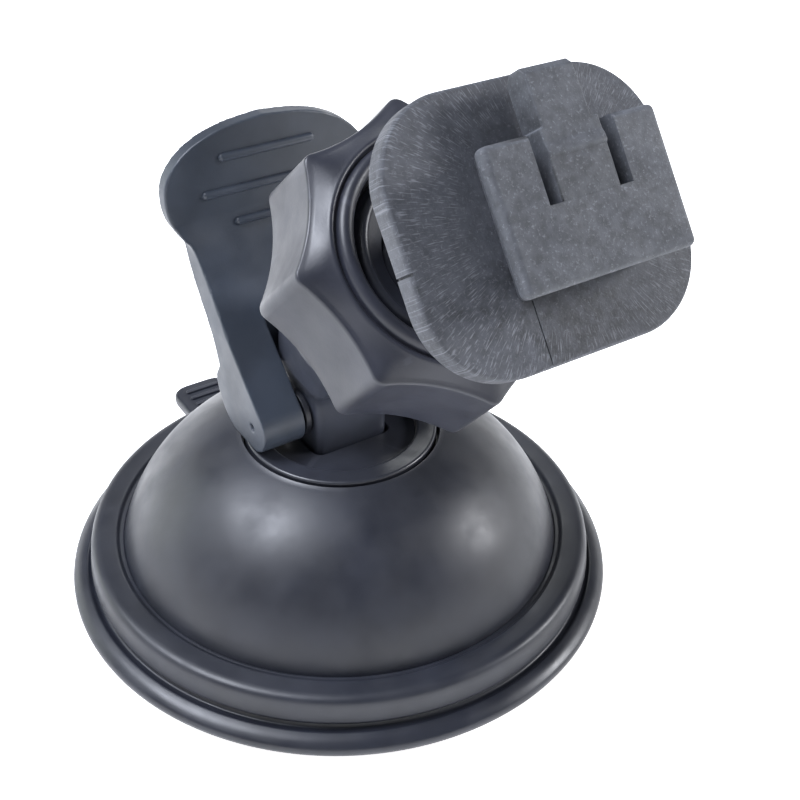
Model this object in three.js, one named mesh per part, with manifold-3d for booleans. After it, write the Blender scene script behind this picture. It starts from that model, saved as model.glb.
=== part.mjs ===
// Windscreen suction mount for a small dash camera.
// Millimetres, +Z up. The origin is the centre of the pad's flat underside. The neck leans towards -Y (the front),
// the lever's pin runs along X, and the lever folds back towards +Y.
import * as THREE from "three";
import { mergeVertices } from "three/addons/utils/BufferGeometryUtils.js";
import Module from "manifold-3d";

// ---- driving dimensions ----
const PAD_RADIUS = 30;
const GRIP_RADIUS = 28;
const GRIP_THICKNESS = 0.6;
const GAP = 0.3; // between pieces that touch on the real object

const PAD_TOP = 2.25; // upper face of the pad under the dome
const FLANGE_RADIUS = 27.9;
const FLANGE_TOP = 5.5;
const DOME_BASE_RADIUS = 23.9;
const DOME_TOP = 18.0;
const DOME_WALL = 2.0;
const DOME_BULGE = 2.3; // rise of the dome's arc over its chord
const RING_SEAT_RADIUS = 10.6;
const RING_BORE = 8.1;
const RING_TOP = 18.3;
const RING_HEIGHT = 1.6;
const GUIDE_THICKNESS = 0.8; // recessed floor of the wear ring, which guides the square post
const GUIDE_CLEARANCE = 0.4;

const PIN_Y = 0.4;
const PIN_Z = 21.3;
const PIN_RADIUS = 1.3;
const PIN_HOLE_RADIUS = 1.45;
const CHEEK_OUTER = 10.3; // half width over the lever's cheeks
const CHEEK_INNER = 5.5;
const PIN_BLIND_END = 8.9; // the pin's hole stops short of the left cheek's outer face
const CAM_REST_RADIUS = PIN_Z - RING_TOP - GAP;
const CAM_RISE_PER_RADIAN = 3.4; // the post rises evenly as the lever folds
const CAM_SWEEP = THREE.MathUtils.degToRad(80);
const PADDLE_LEAN = 0.15; // the paddle leans back by this much per unit of height
const PADDLE_FOOT_Z = 38.6;
const PADDLE_TOP = 47.8;
const PADDLE_THICKNESS = 1.6;
const RIB_RADIUS = 0.45;
const RIBS = [[44.4, 5.1], [40.9, 7.4], [37.6, 4.2]]; // height and half length of each finger rib
const RIB_SINK = 0.25; // the lowest rib stands on the curve below the paddle, this far in front of its plane

const POST_HALF_WIDTH = 4.3;
const POST_FRONT = -2.7;
const POST_BACK = 4.0;
const POST_FOOT_Z = 5.3;
const POST_CORNER = 0.9;
const SHOULDER_Z = 24.4;

const NUT_TILT = THREE.MathUtils.degToRad(43.4); // nut axis, leaning forward from vertical
const NUT_FRONT = new THREE.Vector3(0, -17.53, 47.76); // centre of the nut's front face
const NUT_LENGTH = 9.1;
const NUT_LOBES = 8;
const NUT_CORNER_FRONT = 14.06;
const NUT_CORNER_REAR = 14.48;
const NUT_LOBE_PHASE = THREE.MathUtils.degToRad(40);

const BALL_DEPTH = 5.2; // ball centre behind the nut's front face
const BALL_RADIUS = 6.4;
const PLATE_TILT = THREE.MathUtils.degToRad(52.3); // plate normal, leaning forward from vertical
const PLATE_REACH = 20.3; // ball centre to the plate's front face
const PLATE_WIDTH = 25.5;
const PLATE_HEIGHT = 21.8;
const PLATE_CORNER = 7.0;
const PLATE_THICKNESS = 2.3;
const STEM_RADIUS = 3.4;

const BLOCK_LEFT = -6.9;
const BLOCK_RIGHT = 9.1;
const BLOCK_HALF_HEIGHT = 5.55;
const BLOCK_DEPTH = 4.64;
const LIP_THICKNESS = 1.45;
const UNDERCUT = 2.0;
const TONGUE_LEFT = -1.6;
const TONGUE_RIGHT = 3.8;
const TONGUE_ROOT = 0.3;
const TONGUE_TOP = 10.3;
const SLOT_WIDTH = 1.2;

const TAB_HALF_WIDTH = 4;
const TAB_END = 37.4;
const TAB_CORNER = 2.5;
const TAB_LOW = 0.2;
const TAB_HIGH = 1.6;
const PAD_BOSS_RADIUS = 13.5; // raised collar round the insert
const PAD_BOSS_TOP = 4.0;

const SIDES = 48; // round sides of the large turned pieces

// ---- solids ----
const wasm = await Module();
wasm.setup();

function toSolid(geometry) {
  const bare = geometry.index ? geometry.toNonIndexed() : geometry.clone();
  bare.deleteAttribute("normal");
  bare.deleteAttribute("uv");
  const merged = mergeVertices(bare, 1e-4);
  return new wasm.Manifold(
    new wasm.Mesh({
      numProp: 3,
      vertProperties: merged.attributes.position.array,
      triVerts: new Uint32Array(merged.index.array),
    }),
  );
}

function toGeometry(solid) {
  const mesh = solid.getMesh();
  const geometry = new THREE.BufferGeometry();
  geometry.setAttribute("position", new THREE.BufferAttribute(mesh.vertProperties, 3));
  geometry.setIndex(new THREE.BufferAttribute(mesh.triVerts, 1));
  geometry.computeVertexNormals();
  return geometry;
}

const join = (first, ...others) => others.reduce((sum, next) => sum.add(next), first);
const cut = (first, ...others) => others.reduce((rest, next) => rest.subtract(next), first);

// A turned solid about Z. The profile is a list of [radius, z], counter-clockwise seen with r right and z up.
function turned(profile, sides = SIDES) {
  const points = profile.map(([r, z]) => new THREE.Vector2(r, z));
  if (profile[0][0] > 0) points.push(points[0].clone());
  const geometry = new THREE.LatheGeometry(points, sides);
  geometry.rotateX(Math.PI / 2);
  return toSolid(geometry);
}

// A straight prism of a shape in XY, from z = low to z = high.
function prism(shape, low, high, curveSegments = 8) {
  const geometry = new THREE.ExtrudeGeometry(shape, { depth: high - low, bevelEnabled: false, curveSegments });
  geometry.translate(0, 0, low);
  return toSolid(geometry);
}

function rectangle(left, bottom, right, top, corner = 0) {
  const shape = new THREE.Shape();
  if (corner === 0) {
    shape.moveTo(left, bottom);
    shape.lineTo(right, bottom);
    shape.lineTo(right, top);
    shape.lineTo(left, top);
    return shape;
  }
  shape.moveTo(left + corner, bottom);
  shape.absarc(right - corner, bottom + corner, corner, -Math.PI / 2, 0);
  shape.absarc(right - corner, top - corner, corner, 0, Math.PI / 2);
  shape.absarc(left + corner, top - corner, corner, Math.PI / 2, Math.PI);
  shape.absarc(left + corner, bottom + corner, corner, Math.PI, 1.5 * Math.PI);
  return shape;
}

function box(low, high) {
  return prism(rectangle(low[0], low[1], high[0], high[1]), low[2], high[2]);
}

// Points of an arc, first and last included, in a plane of two coordinates.
function arc(centreA, centreB, radius, from, to, steps) {
  const points = [];
  for (let i = 0; i <= steps; i++) {
    const angle = from + ((to - from) * i) / steps;
    points.push([centreA + radius * Math.cos(angle), centreB + radius * Math.sin(angle)]);
  }
  return points;
}

// A solid skinned over rings of equal point count, each a list of Vector3.
function loft(rings) {
  const count = rings[0].length;
  const positions = [];
  const triangle = (a, b, c) => positions.push(...a.toArray(), ...b.toArray(), ...c.toArray());
  for (let k = 0; k + 1 < rings.length; k++) {
    for (let i = 0; i < count; i++) {
      const j = (i + 1) % count;
      triangle(rings[k][i], rings[k][j], rings[k + 1][j]);
      triangle(rings[k][i], rings[k + 1][j], rings[k + 1][i]);
    }
  }
  const middle = (ring) =>
    ring.reduce((sum, p) => sum.add(p), new THREE.Vector3()).divideScalar(count);
  const start = middle(rings[0]);
  const end = middle(rings[rings.length - 1]);
  const last = rings[rings.length - 1];
  for (let i = 0; i < count; i++) {
    const j = (i + 1) % count;
    triangle(start, rings[0][j], rings[0][i]);
    triangle(end, last[i], last[j]);
  }
  const geometry = new THREE.BufferGeometry();
  geometry.setAttribute("position", new THREE.Float32BufferAttribute(positions, 3));
  return toSolid(geometry);
}

// A solid turned so that its own +X, +Y, +Z become the given directions.
function reorient(solid, x, y, z) {
  const m = new THREE.Matrix4().makeBasis(
    new THREE.Vector3(...x),
    new THREE.Vector3(...y),
    new THREE.Vector3(...z),
  );
  const geometry = toGeometry(solid);
  geometry.applyMatrix4(m);
  return toSolid(geometry);
}

function moved(solid, x, y, z) {
  const geometry = toGeometry(solid);
  geometry.translate(x, y, z);
  return toSolid(geometry);
}

// A prism of a shape drawn with its x along +Y and its y along +Z, from x = low to x = high.
function sideways(shape, low, high, curveSegments = 8) {
  return reorient(prism(shape, low, high, curveSegments), [0, 1, 0], [0, 0, 1], [1, 0, 0]);
}

// ---- materials ----
const plastic = (color, roughness) => new THREE.MeshStandardMaterial({ color, roughness, metalness: 0 });
const rubber = plastic(0x1c1d20, 0.55);
const gel = plastic(0x26282c, 0.25);
const satin = plastic(0x2a2b30, 0.4);
const coarse = plastic(0x34363a, 0.75);
const nylon = plastic(0xd8d6cc, 0.5);
const steel = new THREE.MeshStandardMaterial({ color: 0x9a9da1, roughness: 0.3, metalness: 1 });

const mount = new THREE.Group();

function place(parent, name, solid, material) {
  const mesh = new THREE.Mesh(toGeometry(solid), material);
  mesh.name = name;
  parent.add(mesh);
  return mesh;
}

// ---- suction pad and its tacky face ----
function gripSkin() {
  return turned([[0, 0], [GRIP_RADIUS, 0], [GRIP_RADIUS, GRIP_THICKNESS], [0, GRIP_THICKNESS]]);
}

function suctionPad() {
  const floor = GRIP_THICKNESS + GAP;
  const recess = GRIP_RADIUS + GAP;
  const boss = PAD_BOSS_RADIUS;
  const body = turned([
    [0, floor], [recess, floor], [recess, 0], [PAD_RADIUS - 0.5, 0], [PAD_RADIUS, 0.5], [PAD_RADIUS, 1.1],
    [PAD_RADIUS - 0.6, 1.8], [PAD_RADIUS - 2, PAD_TOP], [boss + 1.2, PAD_TOP], [boss + 0.8, PAD_BOSS_TOP],
    [boss - 1.4, PAD_BOSS_TOP],
    [boss - 1.4, PAD_TOP], [0, PAD_TOP],
  ]);
  const tabStart = PAD_RADIUS - 1.5;
  const outline = new THREE.Shape();
  outline.moveTo(-TAB_HALF_WIDTH, tabStart);
  outline.lineTo(TAB_HALF_WIDTH, tabStart);
  outline.absarc(TAB_HALF_WIDTH - TAB_CORNER, TAB_END - TAB_CORNER, TAB_CORNER, 0, Math.PI / 2);
  outline.absarc(-TAB_HALF_WIDTH + TAB_CORNER, TAB_END - TAB_CORNER, TAB_CORNER, Math.PI / 2, Math.PI);
  return join(body, prism(outline, TAB_LOW, TAB_HIGH));
}

// ---- dome and the ring on its top ----
function domeArc(baseRadius, baseZ, topRadius, topZ, bulge, steps) {
  const chord = new THREE.Vector2(topRadius - baseRadius, topZ - baseZ);
  const half = chord.length() / 2;
  const radius = (half * half + bulge * bulge) / (2 * bulge);
  const outward = new THREE.Vector2(chord.y, -chord.x).normalize();
  const centre = new THREE.Vector2(baseRadius, baseZ)
    .addScaledVector(chord, 0.5)
    .addScaledVector(outward, bulge - radius);
  const from = Math.atan2(baseZ - centre.y, baseRadius - centre.x);
  const to = Math.atan2(topZ - centre.y, topRadius - centre.x);
  return arc(centre.x, centre.y, radius, from, to, steps);
}

function domeHousing() {
  const foot = PAD_TOP + 0.35;
  const hole = RING_BORE + 0.6;
  const ringSeatZ = RING_TOP - RING_HEIGHT - GAP;
  const outside = domeArc(DOME_BASE_RADIUS, FLANGE_TOP, RING_SEAT_RADIUS + 0.2, DOME_TOP, DOME_BULGE, 9);
  const roof = 15.0;
  const inside = domeArc(DOME_BASE_RADIUS - DOME_WALL, FLANGE_TOP, hole + 2.6, roof, 2.4, 5);
  return turned([
    [DOME_BASE_RADIUS - DOME_WALL, foot], [FLANGE_RADIUS, foot], [FLANGE_RADIUS - 0.3, FLANGE_TOP - 1.1],
    ...arc(FLANGE_RADIUS - 1.3, FLANGE_TOP - 1, 1, 0, Math.PI / 2, 4), [DOME_BASE_RADIUS + 0.8, FLANGE_TOP],
    [DOME_BASE_RADIUS + 0.3, FLANGE_TOP - 0.4],
    ...outside, [RING_SEAT_RADIUS, DOME_TOP], [RING_SEAT_RADIUS, ringSeatZ], [hole, ringSeatZ],
    [hole, roof], ...inside.reverse(),
  ]);
}

// The cams press on the ring's raised rim. The square hole in its recessed floor keeps the post from turning.
function wearRing() {
  const bottom = RING_TOP - RING_HEIGHT;
  const guideTop = bottom + GUIDE_THICKNESS;
  const outer = RING_SEAT_RADIUS - GAP;
  const edge = 0.35;
  const body = turned([
    [0, bottom], [outer, bottom], [outer, RING_TOP - edge], [outer - edge, RING_TOP], [RING_BORE + edge, RING_TOP],
    [RING_BORE, RING_TOP - edge], [RING_BORE, guideTop], [0, guideTop],
  ]);
  const halfX = POST_HALF_WIDTH + GUIDE_CLEARANCE;
  const hole = rectangle(
    -halfX, POST_FRONT - GUIDE_CLEARANCE, halfX, POST_BACK + GUIDE_CLEARANCE, POST_CORNER + GUIDE_CLEARANCE,
  );
  return cut(body, prism(hole, bottom - 1, guideTop + 1, 3));
}

// ---- plunger: insert, screw, spring ----
const INSERT_BOTTOM = PAD_TOP + GAP;
const INSERT_RADIUS = 11.6;
const INSERT_BOSS_RADIUS = 7.2;
const SPRING_FOOT = 4.9;
const SPRING_TOP = 13.8;
const SPRING_WIRE_RADIUS = 0.45;
const SPRING_COIL_RADIUS = 9.5;
const SPRING_TURNS = 3.5;
const INSERT_FLANGE_TOP = 4.6;
const INSERT_TOP = 8.0;
const SCREW_Y = (POST_FRONT + POST_BACK) / 2;
const SCREW_HOLE_RADIUS = 1.75;
const SCREW_RADIUS = 1.45;
const SCREW_HEAD_RADIUS = 2.7;

function padInsert() {
  const disc = turned([
    [0, INSERT_BOTTOM], [INSERT_RADIUS, INSERT_BOTTOM], [INSERT_RADIUS, INSERT_FLANGE_TOP],
    [INSERT_BOSS_RADIUS, INSERT_FLANGE_TOP], [INSERT_BOSS_RADIUS, INSERT_TOP], [0, INSERT_TOP],
  ], 48);
  const pocket = box(
    [-POST_HALF_WIDTH - GAP, POST_FRONT - GAP, POST_FOOT_Z - GAP],
    [POST_HALF_WIDTH + GAP, POST_BACK + GAP, INSERT_TOP + 1],
  );
  const headHole = SCREW_HEAD_RADIUS + GAP;
  const screwHole = moved(turned([
    [0, INSERT_BOTTOM - 1], [headHole, INSERT_BOTTOM - 1], [headHole, 4.2], [SCREW_HOLE_RADIUS, 4.2],
    [SCREW_HOLE_RADIUS, INSERT_TOP + 1], [0, INSERT_TOP + 1],
  ], 24), 0, SCREW_Y, 0);
  return cut(disc, pocket, screwHole);
}

function postScrew() {
  return moved(turned([
    [0, INSERT_BOTTOM + 0.1], [SCREW_HEAD_RADIUS - 0.3, INSERT_BOTTOM + 0.1],
    [SCREW_HEAD_RADIUS, INSERT_BOTTOM + 0.4], [SCREW_HEAD_RADIUS, 3.9], [SCREW_RADIUS, 3.9],
    [SCREW_RADIUS, 13.2], [0, 14.0],
  ], 24), 0, SCREW_Y, 0);
}

function returnSpring() {
  const wire = SPRING_WIRE_RADIUS;
  class Helix extends THREE.Curve {
    getPoint(t, target = new THREE.Vector3()) {
      const angle = 2 * Math.PI * SPRING_TURNS * t;
      const rise = SPRING_FOOT + wire + (SPRING_TOP - SPRING_FOOT - 2 * wire) * t;
      return target.set(SPRING_COIL_RADIUS * Math.cos(angle), SPRING_COIL_RADIUS * Math.sin(angle), rise);
    }
  }
  const section = new THREE.Shape();
  section.absarc(0, 0, wire, 0, 2 * Math.PI);
  return toSolid(new THREE.ExtrudeGeometry(section, {
    steps: 48, curveSegments: 4, bevelEnabled: false, extrudePath: new Helix(),
  }));
}

function springSeat() {
  const bottom = SPRING_TOP + GAP;
  return turned([[8.9, bottom], [10.6, bottom], [10.6, bottom + 0.6], [8.9, bottom + 0.6]], 48);
}

// ---- pieces on the nut's axis: z = 0 is the nut's front face ----
const HEAD_REAR = -17.0;
const HEAD_RADIUS = 9.6;
const COLLAR_RADIUS = 10.3;
const COLLAR_LENGTH = 2.2;
const SPIGOT_RADIUS = 9.6;
const SPIGOT_TOP = -4.4;
const SEAT_INNER = BALL_RADIUS + GAP;
const SEAT_OUTER = 8.0;
const NUT_BORE = 10.0;
const NUT_MOUTH = 8.8;
const NUT_SHOULDER = -2.2; // inner step that presses on the pressure ring

const nutAxisGroup = new THREE.Group();
nutAxisGroup.position.copy(NUT_FRONT);
nutAxisGroup.rotation.x = NUT_TILT;
mount.add(nutAxisGroup);

function onNutAxis(solid) {
  const geometry = toGeometry(solid);
  geometry.rotateX(NUT_TILT);
  geometry.translate(...NUT_FRONT.toArray());
  return toSolid(geometry);
}

// ---- neck: square post, bent shoulder, round head with the ball socket ----
// Section of the bend, from a square with soft corners (roundness 0) to a circle (roundness 1).
function neckRing(centre, tilt, halfX, halfY, roundness) {
  const count = 32;
  const power = 5 - 3 * roundness;
  const tiltAxis = new THREE.Vector3(1, 0, 0);
  const ring = [];
  for (let i = 0; i < count; i++) {
    const angle = (2 * Math.PI * (i + 0.5)) / count;
    const c = Math.cos(angle);
    const s = Math.sin(angle);
    const reach = Math.pow(Math.pow(Math.abs(c), power) + Math.pow(Math.abs(s), power), -1 / power);
    const point = new THREE.Vector3(halfX * reach * c, halfY * reach * s, 0);
    ring.push(point.applyAxisAngle(tiltAxis, tilt).add(centre));
  }
  return ring;
}

function neckBend(middleY, halfY) {
  const start = new THREE.Vector3(0, middleY, SHOULDER_Z);
  const middle = new THREE.Vector3(0, middleY, SHOULDER_Z + 6);
  const sideAxis = new THREE.Vector3(1, 0, 0);
  const end = new THREE.Vector3(0, 0, HEAD_REAR + 1).applyAxisAngle(sideAxis, NUT_TILT).add(NUT_FRONT);
  const bend = new THREE.QuadraticBezierCurve3(start, middle, end);
  const swell = 0.7; // the shoulder stands this far out from the post
  const steps = 6;
  const foot = new THREE.Vector3(0, middleY, SHOULDER_Z - 1);
  const rings = [neckRing(foot, 0, POST_HALF_WIDTH - swell, halfY - swell, 0)];
  for (let k = 0; k <= steps; k++) {
    const t = k / steps;
    const startX = POST_HALF_WIDTH + swell;
    const startY = halfY + swell;
    const halfX = startX + (HEAD_RADIUS - 0.7 - startX) * t * t;
    const depth = startY + (HEAD_RADIUS - 0.7 - startY) * t;
    rings.push(neckRing(bend.getPoint(t), NUT_TILT * t, halfX, depth, t));
  }
  return loft(rings);
}

function neckPost() {
  const middleY = (POST_FRONT + POST_BACK) / 2;
  const outline = rectangle(-POST_HALF_WIDTH, POST_FRONT, POST_HALF_WIDTH, POST_BACK, POST_CORNER);
  const foot = prism(outline, POST_FOOT_Z, SHOULDER_Z, 3);
  const collarFront = -NUT_LENGTH - 0.4;
  const collarRear = collarFront - COLLAR_LENGTH;
  const head = turned([
    [0, HEAD_REAR], [HEAD_RADIUS - 1, HEAD_REAR], [HEAD_RADIUS - 0.3, HEAD_REAR + 0.3], [HEAD_RADIUS, HEAD_REAR + 1],
    [HEAD_RADIUS, collarRear], [COLLAR_RADIUS, collarRear + 0.3], [COLLAR_RADIUS, collarFront],
    [SPIGOT_RADIUS, collarFront], [SPIGOT_RADIUS, SPIGOT_TOP], [0, SPIGOT_TOP],
  ], 40);
  const cup = SEAT_OUTER + GAP;
  const socket = turned([...arc(0, -BALL_DEPTH, cup, -Math.PI / 2, 0, 6), [cup, 1], [0, 1]], 40);
  const pinHole = sideways(circle(PIN_Y, PIN_Z, PIN_HOLE_RADIUS), -6, 6);
  const bore = SCREW_HOLE_RADIUS;
  const screwHole = moved(turned([[0, 4], [bore, 4], [bore, 14.6], [0, 14.6]], 24), 0, middleY, 0);
  const solid = join(foot, neckBend(middleY, (POST_BACK - POST_FRONT) / 2), onNutAxis(head));
  return cut(solid, onNutAxis(socket), pinHole, screwHole);
}

function circle(x, y, radius) {
  const shape = new THREE.Shape();
  shape.absarc(x, y, radius, 0, 2 * Math.PI);
  return shape;
}

// A tube or rod on the pin's line, from x = low to x = high.
function onPinLine(outer, inner, low, high) {
  const shape = circle(PIN_Y, PIN_Z, outer);
  if (inner > 0) shape.holes.push(circle(PIN_Y, PIN_Z, inner));
  return sideways(shape, low, high);
}

function leverPin() {
  return onPinLine(PIN_RADIUS, 0, -PIN_BLIND_END + GAP, CHEEK_OUTER - 0.15);
}

function pinWasher(side) {
  const near = POST_HALF_WIDTH + GAP;
  const far = CHEEK_INNER - GAP;
  return side < 0 ? onPinLine(2.4, 1.6, -far, -near) : onPinLine(2.4, 1.6, near, far);
}

// ---- cam lever ----
const paddleFront = (z) => 13.2 + PADDLE_LEAN * (z - 35);

// Side outline in Y and Z. The cam's edge keeps the pin's height above the wear ring equal to the rest radius plus
// an even rise, at every fold angle.
function leverSide() {
  const degrees = THREE.MathUtils.degToRad;
  const points = arc(PIN_Y, PIN_Z, CAM_REST_RADIUS, degrees(132), degrees(270), 9);
  const steps = 10;
  for (let i = 0; i <= steps; i++) {
    const angle = (CAM_SWEEP * i) / steps;
    const height = CAM_REST_RADIUS + CAM_RISE_PER_RADIAN * angle;
    const sin = Math.sin(angle);
    const cos = Math.cos(angle);
    points.push([
      PIN_Y + height * sin + CAM_RISE_PER_RADIAN * cos,
      PIN_Z - height * cos + CAM_RISE_PER_RADIAN * sin,
    ]);
  }
  points.push([7.4, 25.0], [8.9, 28.4], [12.0, 31.7], [13.9, 34.0], [14.9, 36.4]);
  points.push([paddleFront(PADDLE_FOOT_Z) + PADDLE_THICKNESS, PADDLE_FOOT_Z]);
  points.push([paddleFront(PADDLE_TOP) + PADDLE_THICKNESS, PADDLE_TOP], [paddleFront(PADDLE_TOP), PADDLE_TOP]);
  points.push([paddleFront(PADDLE_FOOT_Z), PADDLE_FOOT_Z], [13.0, 37.0], [11.6, 35.4], [8.4, 32.5], [3.4, 27.8]);
  return new THREE.Shape(points.map(([y, z]) => new THREE.Vector2(y, z)));
}

// Front outline in X and Z: straight cheeks, a slight waist, and the wide rounded paddle.
function leverFront() {
  const edge = [
    [9.9, 35.4], [10.6, 37.0], [11.6, 38.9], [11.9, 41.1], [11.3, 43.4], [8.9, 45.7], [5.0, 47.2],
  ];
  const right = edge.map(([x, z]) => new THREE.Vector2(x, z));
  const left = edge.map(([x, z]) => new THREE.Vector2(-x, z)).reverse();
  const shape = new THREE.Shape();
  shape.moveTo(-CHEEK_OUTER, 10);
  shape.lineTo(CHEEK_OUTER, 10);
  shape.lineTo(CHEEK_OUTER, 29);
  shape.splineThru([...right, new THREE.Vector2(0, PADDLE_TOP), ...left, new THREE.Vector2(-CHEEK_OUTER, 29)]);
  return shape;
}

// The space between the cheeks. The web behind the post starts above the pin, so it clears the post when folded.
function leverHollow() {
  const points = [
    [-6, 14], [13, 14], [13, 23.9], [6.0, 23.9], [5.9, 26.0], [5.9, 30.4], [5.0, 31.4], [-6, 38],
  ];
  const shape = new THREE.Shape(points.map(([y, z]) => new THREE.Vector2(y, z)));
  return sideways(shape, -CHEEK_INNER, CHEEK_INNER);
}

function camLever() {
  const side = sideways(leverSide(), -13, 13);
  // The front outline is drawn in X and Z and runs through the whole depth.
  const front = reorient(prism(leverFront(), -25, 25, 3), [1, 0, 0], [0, 0, 1], [0, -1, 0]);
  const pinHole = sideways(circle(PIN_Y, PIN_Z, PIN_HOLE_RADIUS), -PIN_BLIND_END, 13);
  const blank = cut(side.intersect(front), leverHollow(), pinHole);
  const ribs = RIBS.map(([z, halfLength]) => {
    const front = z < PADDLE_FOOT_Z ? paddleFront(z) - RIB_SINK : paddleFront(z);
    return sideways(circle(front, z, RIB_RADIUS), -halfLength, halfLength, 4);
  });
  return join(blank, ...ribs);
}

// ---- ball joint ----
function ballSeat() {
  const rim = THREE.MathUtils.degToRad(-2);
  return turned([
    ...arc(0, -BALL_DEPTH, SEAT_OUTER, -Math.PI / 2, rim, 6), ...arc(0, -BALL_DEPTH, SEAT_INNER, rim, -Math.PI / 2, 6),
  ], 32);
}

function ball() {
  return turned(arc(0, -BALL_DEPTH, BALL_RADIUS, -Math.PI / 2, Math.PI / 2, 14), 32);
}

function pressureRing() {
  const skirt = -BALL_DEPTH + 0.3;
  const seatEnd = THREE.MathUtils.degToRad(36);
  return turned([
    [SEAT_OUTER, skirt], [SEAT_OUTER, SPIGOT_TOP + GAP], [NUT_BORE - 0.5, SPIGOT_TOP + GAP],
    [NUT_BORE - 0.5, NUT_SHOULDER - GAP], [8.3, NUT_SHOULDER - GAP], [8.3, -0.9], [7.8, -0.1], [7.4, 0.1], [7.0, -0.1],
    ...arc(0, -BALL_DEPTH, SEAT_INNER, seatEnd, Math.asin(0.3 / SEAT_INNER), 4),
  ], 40);
}

// One ring of the lock nut's lobed outline: corners joined by hollow flats.
function lobedRing(cornerRadius, z) {
  const perLobe = 7;
  const hollowDepth = 0.061; // of the flats, as a share of the corner radius
  const lobeAngle = (2 * Math.PI) / NUT_LOBES;
  const ring = [];
  for (let lobe = 0; lobe < NUT_LOBES; lobe++) {
    const start = NUT_LOBE_PHASE + lobe * lobeAngle;
    const corner = new THREE.Vector3(Math.cos(start), Math.sin(start), 0);
    const next = new THREE.Vector3(Math.cos(start + lobeAngle), Math.sin(start + lobeAngle), 0);
    const inward = corner.clone().add(next).normalize().negate();
    for (let i = 0; i < perLobe; i++) {
      const t = (i + 0.5) / perLobe;
      const point = corner.clone().lerp(next, t).addScaledVector(inward, hollowDepth * 4 * t * (1 - t));
      ring.push(point.multiplyScalar(cornerRadius).setZ(z));
    }
  }
  return ring;
}

function roundRing(radius, z) {
  return lobedRing(1, z).map((p) => new THREE.Vector3(p.x, p.y, 0).setLength(radius).setZ(z));
}

function lockNut() {
  const edge = 0.5;
  const rimRadius = 10.85;
  const rimHeight = 1.1;
  const body = loft([
    lobedRing(NUT_CORNER_REAR - edge, -NUT_LENGTH), lobedRing(NUT_CORNER_REAR, -NUT_LENGTH + edge),
    lobedRing(NUT_CORNER_FRONT, -edge), lobedRing(NUT_CORNER_FRONT - edge, 0), roundRing(rimRadius, rimHeight),
  ]);
  const lip = turned([
    [NUT_MOUTH, -1], [rimRadius - 0.6, -1], [rimRadius - 0.6, 0.9], [rimRadius - 0.35, 1.15], [rimRadius - 0.7, 1.45],
    [9.8, 1.55], [9.2, 1.45], [NUT_MOUTH, 1.0],
  ]);
  const bore = turned([
    [0, -NUT_LENGTH - 1], [NUT_BORE, -NUT_LENGTH - 1], [NUT_BORE, NUT_SHOULDER], [NUT_MOUTH, NUT_SHOULDER],
    [NUT_MOUTH, 3], [0, 3],
  ]);
  const groove = turned([[rimRadius - 0.6, 0.8], [rimRadius + 0.1, 1.2], [rimRadius - 0.6, 2]]);
  return cut(join(cut(body, groove), lip), bore);
}

// ---- pieces on the plate's axis: z = 0 is the ball's centre ----
const PLATE_FACE = PLATE_REACH;
const PLATE_REAR = PLATE_REACH - PLATE_THICKNESS;
const PIVOT_RADIUS = 2.0;
const PIVOT_TOP = PLATE_FACE + 1.5;

const plateAxisGroup = new THREE.Group();
plateAxisGroup.position.set(0, 0, -BALL_DEPTH).applyAxisAngle(new THREE.Vector3(1, 0, 0), NUT_TILT).add(NUT_FRONT);
plateAxisGroup.rotation.x = PLATE_TILT;
mount.add(plateAxisGroup);

function ballStem() {
  const top = PLATE_REAR - GAP;
  const shaft = turned([
    [0, BALL_RADIUS - 1.5], [STEM_RADIUS, BALL_RADIUS - 1.5], [STEM_RADIUS, top - 2.4], [STEM_RADIUS + 0.5, top - 1.3],
    [STEM_RADIUS + 1.6, top - 0.8], [STEM_RADIUS + 1.6, top], [PIVOT_RADIUS, top], [PIVOT_RADIUS, PIVOT_TOP],
    [0, PIVOT_TOP],
  ], 32);
  return cut(shaft, turned(arc(0, 0, SEAT_INNER, -Math.PI / 2, Math.PI / 2, 12), 32));
}

// The slots and the space for the tongue, cut out of the block's upper half.
function tonguePocket() {
  const left = TONGUE_LEFT - SLOT_WIDTH;
  const right = TONGUE_RIGHT + SLOT_WIDTH;
  return box([left, 0, PLATE_FACE], [right, BLOCK_HALF_HEIGHT + 1, PLATE_FACE + BLOCK_DEPTH + 1]);
}

function mountPlate() {
  const halfWidth = PLATE_WIDTH / 2;
  const halfHeight = PLATE_HEIGHT / 2;
  const edge = 0.4;
  const outline = (inset) =>
    rectangle(-halfWidth + inset, -halfHeight + inset, halfWidth - inset, halfHeight - inset, PLATE_CORNER - inset);
  const plate = join(
    prism(outline(0), PLATE_REAR, PLATE_FACE - edge),
    prism(outline(edge), PLATE_FACE - 2 * edge, PLATE_FACE),
  );
  const lipStart = PLATE_FACE + BLOCK_DEPTH - LIP_THICKNESS;
  const neck = box(
    [BLOCK_LEFT + UNDERCUT, -BLOCK_HALF_HEIGHT, PLATE_FACE - 0.5],
    [BLOCK_RIGHT - UNDERCUT, BLOCK_HALF_HEIGHT, lipStart + 0.5],
  );
  const lip = prism(
    rectangle(BLOCK_LEFT, -BLOCK_HALF_HEIGHT, BLOCK_RIGHT, BLOCK_HALF_HEIGHT, 0.6),
    lipStart,
    PLATE_FACE + BLOCK_DEPTH,
    3,
  );
  const pivotHole = turned([
    [0, PLATE_REAR - 1], [PIVOT_RADIUS + GAP, PLATE_REAR - 1], [PIVOT_RADIUS + GAP, PIVOT_TOP + GAP],
    [0, PIVOT_TOP + GAP],
  ], 32);
  return cut(join(plate, neck, lip), tonguePocket(), pivotHole);
}

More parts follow.
